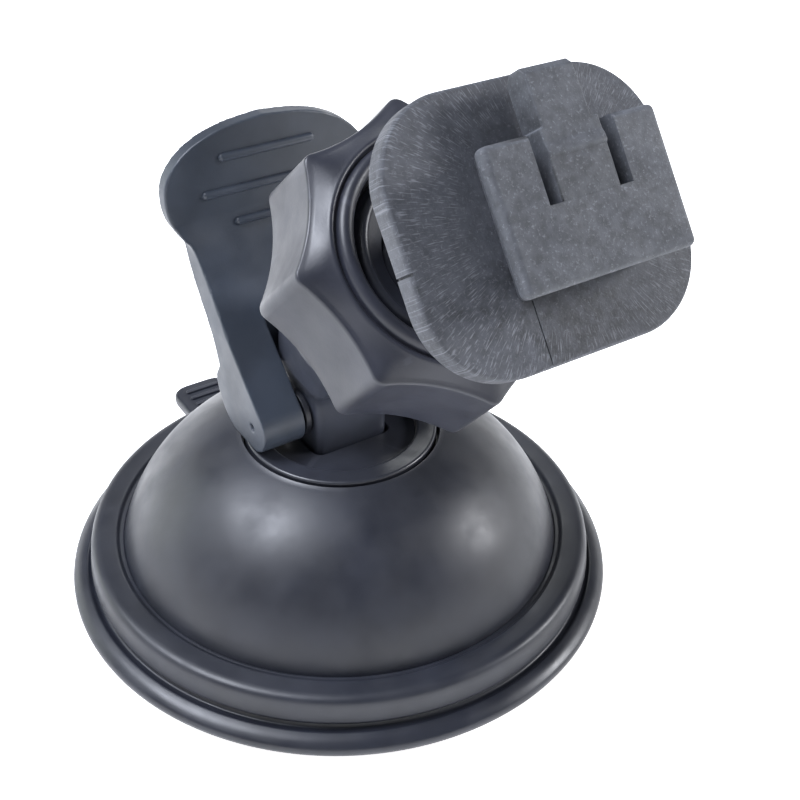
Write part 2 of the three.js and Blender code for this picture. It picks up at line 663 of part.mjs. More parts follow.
function latchTongue() {
  const rear = PLATE_FACE + 1.9;
  const front = PLATE_FACE + BLOCK_DEPTH;
  const side = new THREE.Shape();
  side.moveTo(TONGUE_ROOT, rear);
  side.lineTo(TONGUE_TOP - 0.8, rear);
  side.lineTo(TONGUE_TOP, rear + 0.8);
  side.lineTo(TONGUE_TOP, front - 0.8);
  side.lineTo(TONGUE_TOP - 0.5, front - 0.2);
  side.lineTo(4.7, front - 0.05);
  side.lineTo(3.9, front + 0.25);
  side.lineTo(TONGUE_ROOT, front);
  const full = sideways(side, TONGUE_LEFT, TONGUE_RIGHT);
  const upper = BLOCK_HALF_HEIGHT + 0.2;
  const trim = (low, high) => box([low, upper, rear - 1], [high, TONGUE_TOP + 1, front + 1]);
  return cut(full, trim(TONGUE_LEFT - 1, TONGUE_LEFT + 0.3), trim(TONGUE_RIGHT - 0.6, TONGUE_RIGHT + 1));
}

// ---- the mount ----
place(mount, "grip_skin", gripSkin(), gel);
place(mount, "suction_pad", suctionPad(), rubber);
place(mount, "dome_housing", domeHousing(), satin);
place(mount, "wear_ring", wearRing(), satin);
place(mount, "pad_insert", padInsert(), nylon);
place(mount, "post_screw", postScrew(), steel);
place(mount, "return_spring", returnSpring(), steel);
place(mount, "spring_seat", springSeat(), nylon);
place(mount, "neck_post", neckPost(), satin);
place(mount, "lever_pin", leverPin(), steel);
place(mount, "pin_washer_left", pinWasher(-1), nylon);
place(mount, "pin_washer_right", pinWasher(1), nylon);
place(mount, "cam_lever", camLever(), coarse);
place(nutAxisGroup, "ball_seat", ballSeat(), nylon);
place(nutAxisGroup, "ball", ball(), coarse);
place(nutAxisGroup, "pressure_ring", pressureRing(), satin);
place(nutAxisGroup, "lock_nut", lockNut(), satin);
place(plateAxisGroup, "ball_stem", ballStem(), coarse);
place(plateAxisGroup, "mount_plate", mountPlate(), coarse);
place(plateAxisGroup, "latch_tongue", latchTongue(), coarse);

export default mount;
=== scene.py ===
"""Visual model of a windscreen suction mount for a small camera. Lengths are in millimetres, apart from
the lamps', and become metres when a mesh is made. +Z is up, the neck leans towards -Y, and the lever's
pin runs along X."""
import math
import bmesh
import bpy
from mathutils import Matrix, Vector


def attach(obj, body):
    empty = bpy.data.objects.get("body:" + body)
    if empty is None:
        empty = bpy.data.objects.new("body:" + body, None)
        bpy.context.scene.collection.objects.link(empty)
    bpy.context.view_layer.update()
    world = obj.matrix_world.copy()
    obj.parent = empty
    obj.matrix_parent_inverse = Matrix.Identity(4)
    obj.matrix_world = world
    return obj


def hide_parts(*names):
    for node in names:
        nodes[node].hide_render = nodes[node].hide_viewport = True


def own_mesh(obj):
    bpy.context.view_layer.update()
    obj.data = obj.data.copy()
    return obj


MM = 0.001
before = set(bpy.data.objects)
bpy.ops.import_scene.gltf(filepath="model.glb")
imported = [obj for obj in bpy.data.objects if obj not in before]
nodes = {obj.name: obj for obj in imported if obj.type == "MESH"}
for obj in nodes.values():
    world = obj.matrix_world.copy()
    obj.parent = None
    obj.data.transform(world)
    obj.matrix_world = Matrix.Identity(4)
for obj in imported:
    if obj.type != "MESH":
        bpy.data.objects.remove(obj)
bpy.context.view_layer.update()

# ---- dimensions, in millimetres ----
PIN_Y, PIN_Z = 0.4, 21.3
NUT_TILT = math.radians(43.4)
NUT_FRONT = Vector((0, -17.53, 47.76))
BALL_DEPTH = 5.2
PLATE_TILT = math.radians(52.3)
PLATE_FACE = 20.3
BLOCK_DEPTH = 4.64
ROOT = 0.29
PIN_HOLE = 1.45
POST_HALF_X, POST_FRONT, POST_BACK = 4.3, -2.7, 4.0
POST_MIDDLE = (POST_FRONT + POST_BACK) / 2
POST_HALF_Y = (POST_BACK - POST_FRONT) / 2
GUIDE_CLEARANCE = 0.4
SPRING_TOP = 13.8
NUT_PLACE = Matrix.Translation(NUT_FRONT) @ Matrix.Rotation(NUT_TILT, 4, "X")
BALL_CENTRE = NUT_PLACE @ Vector((0, 0, -BALL_DEPTH))
PLATE_PLACE = Matrix.Translation(BALL_CENTRE) @ Matrix.Rotation(PLATE_TILT, 4, "X")


# ---- mesh helpers ----
def piece(name, points, faces, place=None, sharp=40):
    """An object from points in millimetres. Its faces point outwards, smooth up to the sharp angle."""
    place = place or Matrix.Identity(4)
    mesh = bpy.data.meshes.new(name)
    mesh.from_pydata([MM * (place @ Vector(p)) for p in points], [], faces)
    tidy(mesh)
    mesh.shade_smooth()
    mesh.set_sharp_from_angle(angle=math.radians(sharp))
    item = bpy.data.objects.new(name, mesh)
    bpy.context.scene.collection.objects.link(item)
    return item


def tidy(mesh, merge=1e-7):
    """Joins points that meet and turns every face outwards."""
    work = bmesh.new()
    work.from_mesh(mesh)
    bmesh.ops.remove_doubles(work, verts=work.verts, dist=merge)
    bmesh.ops.recalc_face_normals(work, faces=work.faces)
    work.to_mesh(mesh)
    work.free()


def arc(a, b, radius, start, end, steps):
    """Points of an arc in two coordinates, angles in degrees."""
    angles = [math.radians(start + (end - start) * i / steps) for i in range(steps + 1)]
    return [(a + radius * math.cos(t), b + radius * math.sin(t)) for t in angles]


def rounded(points, steps=5, closed=True):
    """Rounds the corners of an outline. A point is (a, b) for a sharp corner or (a, b, radius)."""
    out = []
    count = len(points)
    for i, point in enumerate(points):
        corner = Vector(point[:2])
        if len(point) < 3 or (not closed and i in (0, count - 1)):
            out.append(tuple(corner))
            continue
        before = Vector(points[i - 1][:2]) - corner
        after = Vector(points[(i + 1) % count][:2]) - corner
        reach = min(point[2], 0.49 * before.length, 0.49 * after.length)
        start = corner + before.normalized() * reach
        end = corner + after.normalized() * reach
        for k in range(steps + 1):
            t = k / steps
            out.append(tuple(start * (1 - t) ** 2 + corner * 2 * t * (1 - t) + end * t * t))
    return out


def bulged(start, end, bulge, steps):
    """An arc from start to end that stands out from its chord by bulge."""
    chord = Vector(end) - Vector(start)
    half = chord.length / 2
    radius = (half * half + bulge * bulge) / (2 * bulge)
    outward = Vector((chord.y, -chord.x)).normalized()
    centre = (Vector(start) + Vector(end)) / 2 + outward * (bulge - radius)
    first = math.degrees(math.atan2(start[1] - centre.y, start[0] - centre.x))
    last = math.degrees(math.atan2(end[1] - centre.y, end[0] - centre.x))
    return arc(centre.x, centre.y, radius, first, last, steps)


def skin(rings, cap_start=False, cap_end=False, join_ends=False):
    """Faces over rings of equal point count, numbered ring after ring."""
    count = len(rings[0])
    points = [p for ring in rings for p in ring]
    faces = []
    last = len(rings) if join_ends else len(rings) - 1
    for k in range(last):
        a, b = k * count, ((k + 1) % len(rings)) * count
        for i in range(count):
            j = (i + 1) % count
            faces.append((a + i, a + j, b + j, b + i))
    if cap_start:
        faces.append(tuple(range(count)))
    if cap_end:
        faces.append(tuple(range(len(points) - count, len(points))))
    return points, faces


def full_turn(sides):
    """Evenly spaced angles of one turn."""
    return [2 * math.pi * i / sides for i in range(sides)]


def turned(profile, sides):
    """A ring of points about Z for each (radius, z) of a profile."""
    angles = full_turn(sides)
    return [[(radius * math.cos(t), radius * math.sin(t), z) for t in angles] for radius, z in profile]


def lathe(name, profile, place=None, sides=144, sharp=40):
    """A turned piece about Z from a profile of (radius, z). One that starts on the axis also ends there."""
    solid = profile[0][0] < 1e-6
    if solid:
        least = 1e-4
        profile = [(max(radius, least), z) for radius, z in profile]
    points, faces = skin(turned(profile, sides), solid, solid, not solid)
    return piece(name, points, faces, place, sharp)


def prism(name, outline, low, high, place=None, sharp=40):
    """A straight prism of an outline in XY."""
    rings = [[(a, b, low) for a, b in outline], [(a, b, high) for a, b in outline]]
    points, faces = skin(rings, True, True)
    return piece(name, points, faces, place, sharp)


# Turns for prisms. ALONG_X takes an outline's x to +Y, its y to +Z and its depth to +X.
ALONG_X = Matrix(((0, 0, 1, 0), (1, 0, 0, 0), (0, 1, 0, 0), (0, 0, 0, 1)))
# ALONG_Y takes an outline's x to +X, its y to +Z and its depth to -Y.
ALONG_Y = Matrix(((1, 0, 0, 0), (0, 0, -1, 0), (0, 1, 0, 0), (0, 0, 0, 1)))


def settled(item):
    """Applies an object's modifiers to its mesh."""
    bpy.context.view_layer.update()
    graph = bpy.context.evaluated_depsgraph_get()
    mesh = bpy.data.meshes.new_from_object(item.evaluated_get(graph))
    item.modifiers.clear()
    item.data = mesh
    return item


def combine(base, other, how):
    """Joins or cuts base with another object, which is used up."""
    step = base.modifiers.new(how, "BOOLEAN")
    step.operation = how
    step.solver = "EXACT"
    step.object = other
    settled(base)
    bpy.data.objects.remove(other)
    return base


def bevel(item, width, segments=3, angle=30):
    """Rounds the edges sharper than the angle. The width is in millimetres."""
    step = item.modifiers.new("edges", "BEVEL")
    step.width = width * MM
    step.segments = segments
    step.limit_method = "ANGLE"
    step.angle_limit = math.radians(angle)
    even_normals(item)
    return item


def even_normals(item, angle=50):
    """Flat faces stay flat and their rounded edges stay smooth."""
    settled(item)
    item.data.shade_smooth()
    item.data.set_sharp_from_angle(angle=math.radians(angle))
    weighted = item.modifiers.new("normals", "WEIGHTED_NORMAL")
    weighted.keep_sharp = True
    weighted.weight = 80
    return settled(item)


def melt(item, voxel, rounds):
    """Remeshes a solid evenly and softens its edges as a mould does."""
    remesh = item.modifiers.new("even", "REMESH")
    remesh.mode = "VOXEL"
    remesh.voxel_size = voxel * MM
    smooth = item.modifiers.new("soft", "SMOOTH")
    smooth.factor = 0.5
    smooth.iterations = rounds
    settled(item)
    item.data.shade_smooth()
    return item


# ---- materials ----
def moulded(name, color, roughness, grain=0.012, grain_size=0.35, patchiness=0.08, wear=0.5,
            specular=0.5, coat=0.0, metallic=0.0, speckle=0.0, mottle=0.16, strokes=None):
    """Moulded plastic, rubber or metal: fine grain, uneven gloss, colour variation and paler worn edges.
    Grain and its size are in millimetres. Mottle is how far the colour varies, speckle is the strength
    of pale specks, and strokes is a function that builds the nodes for further pale marks."""
    material = bpy.data.materials.new(name)
    material.use_nodes = True
    tree = material.node_tree
    shader = tree.nodes["Principled BSDF"]
    shader.inputs["Specular IOR Level"].default_value = specular
    shader.inputs["Coat Weight"].default_value = coat
    shader.inputs["Coat Roughness"].default_value = 0.25
    shader.inputs["Metallic"].default_value = metallic
    place = tree.nodes.new("ShaderNodeTexCoord")

    def noise(size, detail=3.0, rough=0.55, vector=None):
        node = tree.nodes.new("ShaderNodeTexNoise")
        node.inputs["Scale"].default_value = 1 / (size * MM)
        node.inputs["Detail"].default_value = detail
        node.inputs["Roughness"].default_value = rough
        tree.links.new(vector or place.outputs["Object"], node.inputs["Vector"])
        return node.outputs["Fac"]

    def remap(value, low, high, out_low, out_high):
        node = tree.nodes.new("ShaderNodeMapRange")
        for key, number in (("From Min", low), ("From Max", high), ("To Min", out_low), ("To Max", out_high)):
            node.inputs[key].default_value = number
        tree.links.new(value, node.inputs["Value"])
        return node.outputs["Result"]

    def blend(amount, first, second):
        node = tree.nodes.new("ShaderNodeMix")
        node.data_type = "RGBA"
        tree.links.new(amount, node.inputs["Factor"])
        for key, value in ((6, first), (7, second)):
            if isinstance(value, tuple):
                node.inputs[key].default_value = (*value, 1)
            else:
                tree.links.new(value, node.inputs[key])
        return node.outputs[2]

    darker = tuple((1 - mottle) * c for c in color)
    lighter = tuple(min(1, (1 + mottle) * c) for c in color)
    tone = blend(remap(noise(0.9 if speckle > 0 else 6.0), 0.35, 0.65, 0, 1), darker, lighter)
    if wear > 0:
        geometry = tree.nodes.new("ShaderNodeNewGeometry")
        worn = tuple(min(1, 1.9 * c + 0.015) for c in color)
        tone = blend(remap(geometry.outputs["Pointiness"], 0.52, 0.60, 0, wear), tone, worn)
    if speckle > 0:
        specks = remap(noise(0.26, 2.0, 0.7), 0.56, 0.76, 0, speckle)
        tone = blend(specks, tone, tuple(min(1, 3 * c + 0.05) for c in color))
    if strokes is not None:
        tone = blend(strokes(tree, place, noise, remap), tone, tuple(min(1, 3.2 * c + 0.08) for c in color))
    tree.links.new(tone, shader.inputs["Base Color"])
    gloss = remap(noise(4.0, 4.0), 0.3, 0.7, roughness - patchiness, roughness + patchiness)
    tree.links.new(gloss, shader.inputs["Roughness"])
    bump = tree.nodes.new("ShaderNodeBump")
    bump.inputs["Strength"].default_value = 1.0
    bump.inputs["Distance"].default_value = grain * MM
    tree.links.new(noise(grain_size, 2.0, 0.6), bump.inputs["Height"])
    tree.links.new(bump.outputs["Normal"], shader.inputs["Normal"])
    return material


def plate_strokes(tree, place, noise, remap):
    """Short pale flow marks that run outwards over the plate from its block."""
    centre = MM * PLATE_PLACE.translation
    block_offset = 1.1 * MM
    spacing, stretch = 0.030, 0.28
    marks_begin, marks_full = 7.8 * MM, 9.5 * MM
    turn = tree.nodes.new("ShaderNodeVectorRotate")
    turn.rotation_type = "X_AXIS"
    turn.inputs["Angle"].default_value = -PLATE_TILT
    turn.inputs["Center"].default_value = centre
    tree.links.new(place.outputs["Object"], turn.inputs["Vector"])
    shift = tree.nodes.new("ShaderNodeVectorMath")
    shift.operation = "SUBTRACT"
    shift.inputs[1].default_value = centre + Vector((block_offset, 0, 0))
    tree.links.new(turn.outputs["Vector"], shift.inputs[0])
    split = tree.nodes.new("ShaderNodeSeparateXYZ")
    tree.links.new(shift.outputs["Vector"], split.inputs["Vector"])

    def maths(operation, first, second=None):
        node = tree.nodes.new("ShaderNodeMath")
        node.operation = operation
        for key, value in enumerate((first, second)):
            if value is None:
                continue
            if isinstance(value, (int, float)):
                node.inputs[key].default_value = value
            else:
                tree.links.new(value, node.inputs[key])
        return node.outputs["Value"]

    radius = maths("SQRT", maths("ADD", maths("MULTIPLY", split.outputs["X"], split.outputs["X"]),
                                 maths("MULTIPLY", split.outputs["Y"], split.outputs["Y"])))
    angle = maths("ARCTAN2", split.outputs["Y"], split.outputs["X"])
    polar = tree.nodes.new("ShaderNodeCombineXYZ")
    tree.links.new(maths("MULTIPLY", angle, spacing), polar.inputs["X"])
    tree.links.new(maths("MULTIPLY", radius, stretch), polar.inputs["Y"])
    streaks = remap(noise(0.30, 1.0, 0.5, polar.outputs["Vector"]), 0.56, 0.72, 0, 0.55)
    outside = remap(radius, marks_begin, marks_full, 0, 1)
    return maths("MULTIPLY", streaks, outside)


rubber = moulded("pad_rubber", (0.016, 0.018, 0.026), 0.38, grain=0.006, grain_size=0.5, wear=0.25)
gel = moulded("grip_gel", (0.03, 0.032, 0.036), 0.16, grain=0.003, grain_size=1.2, wear=0.0, coat=0.4)
dome = moulded("dome_plastic", (0.018, 0.020, 0.028), 0.42, grain=0.003, grain_size=0.25, wear=0.2)
ring = moulded("ring_plastic", (0.022, 0.024, 0.032), 0.36, grain=0.005, grain_size=0.35, wear=0.4)
nylon = moulded("insert_nylon", (0.62, 0.61, 0.56), 0.45, grain=0.008, grain_size=0.5, wear=0.0)
# Steel for the spring and the post's screw, darkened far below bare steel: painted shade, so the spring seen
# through the ring's hole looks shaded.
spring = moulded("spring_steel", (0.09, 0.09, 0.095), 0.34, grain=0.004, grain_size=0.25, wear=0.0,
                 metallic=1.0)
steel = moulded("pin_steel", (0.13, 0.13, 0.14), 0.32, grain=0.004, grain_size=0.3, wear=0.2, metallic=1.0)
black_nylon = moulded("washer_nylon", (0.014, 0.015, 0.020), 0.42, grain=0.008, grain_size=0.4, wear=0.2)
neck = moulded("neck_plastic", (0.034, 0.038, 0.052), 0.38, grain=0.006, grain_size=0.32, wear=0.3)
lever = moulded("lever_plastic", (0.029, 0.036, 0.050), 0.42, grain=0.007, grain_size=0.32, wear=0.35)
nut = moulded("nut_plastic", (0.022, 0.024, 0.034), 0.40, grain=0.008, grain_size=0.30, wear=0.35)
clamp = moulded("pressure_plastic", (0.018, 0.020, 0.028), 0.38, grain=0.008, grain_size=0.3, wear=0.3)
ball_skin = moulded("ball_plastic", (0.015, 0.016, 0.021), 0.28, grain=0.004, grain_size=0.4, wear=0.2)
stem = moulded("stem_plastic", (0.016, 0.017, 0.022), 0.40, grain=0.008, grain_size=0.35, wear=0.3)
plate = moulded("plate_plastic", (0.041, 0.044, 0.053), 0.66, grain=0.035, grain_size=0.28, wear=0.6,
                speckle=0.45, mottle=0.35, strokes=plate_strokes)
block = moulded("block_plastic", (0.054, 0.058, 0.068), 0.66, grain=0.035, grain_size=0.26, wear=0.6,
                speckle=0.45, mottle=0.28)


def dress(item, material, body, slot, *replaced):
    """Gives a piece its material, the body it rides on and the nodes it replaces. The slot is not used."""
    item.data.materials.clear()
    item.data.materials.append(material)
    if replaced:
        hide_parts(*replaced)
    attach(item, body)
    return item


# ---- camera and stage ----
camera_data = bpy.data.cameras.new("view")
camera_data.sensor_width = 36
camera_data.lens = 58.5
camera_data.clip_start = 0.005
camera = bpy.data.objects.new("view", camera_data)
camera_place = MM * Vector((-57.689, -96.247, 101.092))
azimuth, elevation, roll = math.radians(-34.16), math.radians(35.401), math.radians(1.673)
camera.matrix_world = (Matrix.Translation(camera_place) @ Matrix.Rotation(azimuth, 4, "Z")
                       @ Matrix.Rotation(math.pi / 2 - elevation, 4, "X") @ Matrix.Rotation(roll, 4, "Z"))
bpy.context.scene.collection.objects.link(camera)
bpy.context.scene.camera = camera
bpy.context.scene.view_settings.view_transform = "Standard"

world = bpy.data.worlds.new("studio")
bpy.context.scene.world = world
world.use_nodes = True
world.node_tree.nodes["Background"].inputs["Color"].default_value = (0.88, 0.92, 1.0, 1)
world.node_tree.nodes["Background"].inputs["Strength"].default_value = 0.12


def lamp(name, place, target, size, power, tint):
    """A soft rectangular light that faces the target, in metres and watts."""
    data = bpy.data.lights.new(name, "AREA")
    data.shape = "RECTANGLE"
    data.size, data.size_y = size
    data.energy = power
    data.color = tint
    item = bpy.data.objects.new(name, data)
    item.location = place
    item.rotation_euler = (Vector(target) - Vector(place)).to_track_quat("-Z", "Y").to_euler()
    bpy.context.scene.collection.objects.link(item)


AIM = (0, -0.01, 0.03)
lamp("over", (-0.23, 0.12, 0.47), AIM, (0.30, 0.26), 4.3, (0.86, 0.90, 1.0))
lamp("key", (0.57, -0.28, 0.35), AIM, (0.16, 0.16), 3.4, (0.95, 0.96, 1.0))
lamp("left", (-0.36, 0.46, 0.18), AIM, (0.30, 0.34), 0.55, (0.92, 1.0, 0.90))
lamp("back", (0.23, 0.33, 0.33), AIM, (0.12, 0.12), 0.25, (0.95, 0.98, 1.0))


def studio_floor():
    """A round floor that turns up into a low wall."""
    radius, curve, wall_top = 2000, 400, 700
    profile = [(1, 0), (900, 0), (radius, 0)] + arc(radius, curve, curve, -90, 0, 10)[1:]
    profile.append((radius + curve, wall_top))
    points, faces = skin(turned(profile, 96), True)
    floor = piece("floor", points, faces)
    floor.location.z = -0.1 * MM
    paper = moulded("pale_floor", (0.93, 0.93, 0.93), 0.8, grain=0.002, grain_size=3, wear=0.0, specular=0.2)
    shader = paper.node_tree.nodes["Principled BSDF"]
    shader.inputs["Emission Color"].default_value = (1, 1, 1, 1)
    shader.inputs["Emission Strength"].default_value = 0.92
    floor.data.materials.append(paper)


studio_floor()


# ---- suction pad ----
def suction_pad():
    """The cup with its rim lip, and the pull tab with its low bars."""
    body = lathe("suction_cup_pad", rounded([
        (0, 0.9), (28.3, 0.9), (28.3, 0.02), (29.6, 0.0, 0.2), (30.0, 0.5, 0.4), (29.95, 1.15, 0.4),
        (29.2, 1.75, 0.6), (28.35, 2.0, 0.3), (28.0, 1.75, 0.2), (27.6, 1.75, 0.2), (27.4, 2.25, 0.3),
        (14.7, 2.25, 0.2), (14.3, 4.0, 0.4), (12.1, 4.0, 0.3), (12.1, 2.25), (0, 2.25),
    ], closed=False), sides=224)
    tab_half, tab_end, corner = 4, 37.4, 2.6
    outline = rounded([(-tab_half, 28.0), (tab_half, 28.0), (tab_half, tab_end, corner),
                       (-tab_half, tab_end, corner)], steps=10)
    tab = bevel(prism("pull_tab", outline, 0.2, 1.6), 0.45, 4)
    bar_x, bar_y = 2.4, 0.3
    for y in (32.5, 34.0, 35.5):
        outline = rounded([(-bar_x, y - bar_y, bar_y), (bar_x, y - bar_y, bar_y),
                           (bar_x, y + bar_y, bar_y), (-bar_x, y + bar_y, bar_y)])
        bar = prism("tab_bar_%d" % round(y * 10), outline, 1.3, 1.85)
        dress(bevel(bar, 0.15, 2), rubber, "base", "pad_rubber", "suction_pad")
    dress(tab, rubber, "base", "pad_rubber", "suction_pad")
    dress(body, rubber, "base", "pad_rubber", "suction_pad")


suction_pad()
skin_disc = lathe("grip_face", rounded([(0, 0), (28, 0, 0.15), (28, 0.6, 0.15), (0, 0.6)], closed=False))
dress(skin_disc, gel, "base", "grip_gel", "grip_skin")


# ---- dome and wear ring ----
def dome_shell():
    """The flange with its step, the crowned outside, the seat of the ring and the inside."""
    flange_top = 5.5
    outside = bulged((23.9, flange_top), (10.8, 18.0), 2.3, 40)
    inside = bulged((21.9, flange_top), (11.3, 15.0), 2.4, 12)
    profile = rounded([
        (21.9, 2.6), (27.9, 2.6, 0.3), (27.6, flange_top, 1.1), (24.85, 5.45, 0.3), (24.55, 5.1, 0.2),
        (24.15, 5.1, 0.15),
    ])
    profile += outside + [(10.72, 18.06), (10.6, 17.95), (10.6, 16.4), (8.7, 16.4), (8.7, 15.0)]
    return lathe("dome_shell", profile + inside[::-1], sides=256)


def top_ring():
    """The raised rim carries the cams, and the recessed floor has the square hole that guides the post."""
    low, floor, top = 16.7, 17.5, 18.3
    item = lathe("top_ring", rounded([
        (0, low), (10.3, low), (10.3, top, 0.35), (8.1, top, 0.35), (8.1, floor, 0.15), (0, floor),
    ], closed=False), sides=144)
    half, corner = POST_HALF_X + GUIDE_CLEARANCE, 1.3
    front, back = POST_FRONT - GUIDE_CLEARANCE, POST_BACK + GUIDE_CLEARANCE
    hole = rounded([(-half, front, corner), (half, front, corner), (half, back, corner),
                    (-half, back, corner)])
    combine(item, prism("cutter", hole, 15, 19), "DIFFERENCE")
    return even_normals(item, 35)


dress(dome_shell(), dome, "base", "dome_plastic", "dome_housing")
dress(top_ring(), ring, "base", "ring_plastic", "wear_ring")


# ---- neck ----
SHOULDER_Z = 24.4
HEAD_REAR = -17.0


def section(centre, tilt, half_x, half_y, power, count=96):
    """A closed ring between a circle (power 2) and a square with soft corners, leaning about X."""
    ring_points = []
    for i in range(count):
        t = 2 * math.pi * (i + 0.5) / count
        c, s = math.cos(t), math.sin(t)
        reach = (abs(c) ** power + abs(s) ** power) ** (-1 / power)
        point = Vector((half_x * reach * c, half_y * reach * s, 0))
        ring_points.append(tuple(Matrix.Rotation(tilt, 3, "X") @ point + centre))
    return ring_points


def neck_post():
    """The square post, the bend that rounds as it leans forward, and the head with the ball's socket."""
    square = 9
    bend_end = 8.9
    start = Vector((0, POST_MIDDLE, SHOULDER_Z))
    middle = start + Vector((0, 0, 6))
    end = NUT_PLACE @ Vector((0, 0, HEAD_REAR + 1))
    rings = []
    for z, inset in ((5.3, 0.4), (5.5, 0.1), (5.8, 0), (12, 0), (18, 0), (22.6, 0), (23.3, 0), (23.7, -0.05)):
        centre = Vector((0, POST_MIDDLE, z))
        rings.append(section(centre, 0, POST_HALF_X - inset, POST_HALF_Y - inset, square))
    swell = 0.7
    steps = 28
    for k in range(steps + 1):
        t = k / steps
        ease = min(1, 0.35 + 6 * t)
        half_x = POST_HALF_X + swell * ease + (bend_end - POST_HALF_X - swell) * t * t
        half_y = POST_HALF_Y + swell * ease + (bend_end - POST_HALF_Y - swell) * t
        centre = start * (1 - t) ** 2 + middle * 2 * t * (1 - t) + end * t * t
        rings.append(section(centre, NUT_TILT * t, half_x, half_y, 2 + (square - 2) * (1 - t) ** 3))
    head = rounded([
        (9.2, -15.9), (9.6, -15.6, 0.3), (9.6, -11.7, 0.2), (10.3, -11.6, 0.3), (10.3, -9.5, 0.3),
        (9.6, -9.5, 0.2), (9.6, -4.4, 0.3), (8.3, -4.4, 0.2), (8.3, -5.2),
    ], closed=False) + arc(0, -BALL_DEPTH, 8.3, 0, -88, 10)
    for radius, s in head:
        rings.append(section(NUT_PLACE @ Vector((0, 0, s)), NUT_TILT, radius, radius, 2))
    points, faces = skin(rings, True, True)
    return piece("neck", points, faces, sharp=35)


def rod(name, outer, inner, low, high, edge):
    """A rod or tube on the pin's line."""
    place = Matrix.Translation((0, PIN_Y, PIN_Z)) @ Matrix.Rotation(math.pi / 2, 4, "Y")
    if inner > 0:
        profile = rounded([(inner, low), (outer, low, edge), (outer, high, edge), (inner, high)])
    else:
        profile = rounded([(0, low), (outer, low, edge), (outer, high, edge), (0, high)], closed=False)
    return lathe(name, profile, place, sides=72)


def bore(radius, low, high, place):
    """A cutter for a round hole about Z."""
    return lathe("cutter", [(0, low), (radius, low), (radius, high), (0, high)], place, 48)


def bored_neck():
    """The neck with its hole for the pin and the screw's bore in its foot."""
    item = neck_post()
    combine(item, rod("cutter", PIN_HOLE, 0, -6, 6, 0), "DIFFERENCE")
    combine(item, bore(1.75, 4, 14.6, Matrix.Translation((0, POST_MIDDLE, 0))), "DIFFERENCE")
    item.data.set_sharp_from_angle(angle=math.radians(35))
    return item


dress(bored_neck(), neck, "neck", "neck_plastic", "neck_post")
dress(rod("lever_pivot", 1.3, 0, -8.6, 10.15, 0.25), steel, "neck", "pin_steel", "lever_pin")
dress(rod("washer_left", 2.4, 1.6, -5.2, -4.6, 0.1), black_nylon, "neck", "washer_nylon", "pin_washer_left")
dress(rod("washer_right", 2.4, 1.6, 4.6, 5.2, 0.1), black_nylon, "neck", "washer_nylon", "pin_washer_right")


# ---- cam lever ----
CAM_REST, CAM_RISE = 2.7, 3.4
CHEEK_INNER = 5.5
PADDLE_LOW, PADDLE_TOP = 38.6, 47.8
PADDLE_LEAN = 0.15


def paddle_front(z):
    """How far back the paddle's front face is at height z."""
    return 13.2 + PADDLE_LEAN * (z - 35)


def smooth_line(points, steps=6):
    """A Catmull-Rom curve through the points."""
    out = []
    padded = [points[0]] + points + [points[-1]]
    for k in range(1, len(padded) - 2):
        p0, p1, p2, p3 = (Vector(p) for p in padded[k - 1:k + 3])
        for i in range(steps):
            t = i / steps
            out.append(tuple(0.5 * (2 * p1 + (p2 - p0) * t + (2 * p0 - 5 * p1 + 4 * p2 - p3) * t * t
                                    + (3 * p1 - p0 - 3 * p2 + p3) * t ** 3)))
    return out + [points[-1]]


def cam_lever():
    """A side outline with the cam's spiral, cut to the paddle's outline and hollowed between the cheeks."""
    side = arc(PIN_Y, PIN_Z, CAM_REST, 132, 270, 24)
    cam_turn, cam_steps = 80, 30
    for i in range(1, cam_steps + 1):
        angle = math.radians(cam_turn * i / cam_steps)
        height = CAM_REST + CAM_RISE * angle
        side.append((PIN_Y + height * math.sin(angle) + CAM_RISE * math.cos(angle),
                     PIN_Z - height * math.cos(angle) + CAM_RISE * math.sin(angle)))
    thickness = 1.6
    side += smooth_line([(7.4, 25.0), (8.9, 28.4), (12.0, 31.7), (13.9, 34.0), (14.9, 36.4),
                         (paddle_front(PADDLE_LOW) + thickness, PADDLE_LOW)])
    side += [(paddle_front(PADDLE_TOP) + thickness, PADDLE_TOP), (paddle_front(PADDLE_TOP), PADDLE_TOP)]
    side += smooth_line([(paddle_front(PADDLE_LOW), PADDLE_LOW), (13.0, 37.0), (11.6, 35.4), (8.4, 32.5),
                         (3.4, 27.8)])
    body = prism("cam_lever_body", side, -13, 13, ALONG_X)
    half = smooth_line([(10.3, 29), (9.9, 35.4), (10.6, 37.0), (11.6, 38.9), (11.9, 41.1), (11.3, 43.4),
                        (8.9, 45.7), (5.0, 47.2), (0, PADDLE_TOP)])
    front = [(-10.3, 10), (10.3, 10)] + half + [(-x, z) for x, z in half[-2::-1]]
    combine(body, prism("cutter", front, -25, 25, ALONG_Y), "INTERSECT")
    hollow = [(-6, 14), (13, 14), (13, 23.9), (6.0, 23.9), (5.9, 26.0), (5.9, 30.4), (5.0, 31.4),
              (-6, 38)]
    combine(body, prism("cutter", hollow, -CHEEK_INNER, CHEEK_INNER, ALONG_X), "DIFFERENCE")
    dimple = 0.4
    combine(body, rod("cutter", PIN_HOLE, 0, -8.9, 13, 0), "DIFFERENCE")
    combine(body, rod("cutter", dimple, 0, -13, -9.8, 0), "DIFFERENCE")
    return melt(body, 0.13, 7)


def finger_rib(name, z, half_length, front):
    """A thin round-ended rib, half sunk in the paddle."""
    radius, steps = 0.45, 8
    angles = [math.radians(90 * k / steps) for k in range(steps + 1)]
    end = [(radius * math.sin(t), half_length + radius * math.cos(t)) for t in angles]
    profile = [(r, -x) for r, x in end] + end[::-1]
    place = Matrix.Translation((0, front, z)) @ Matrix.Rotation(math.pi / 2, 4, "Y")
    return lathe(name, profile, place, sides=20)


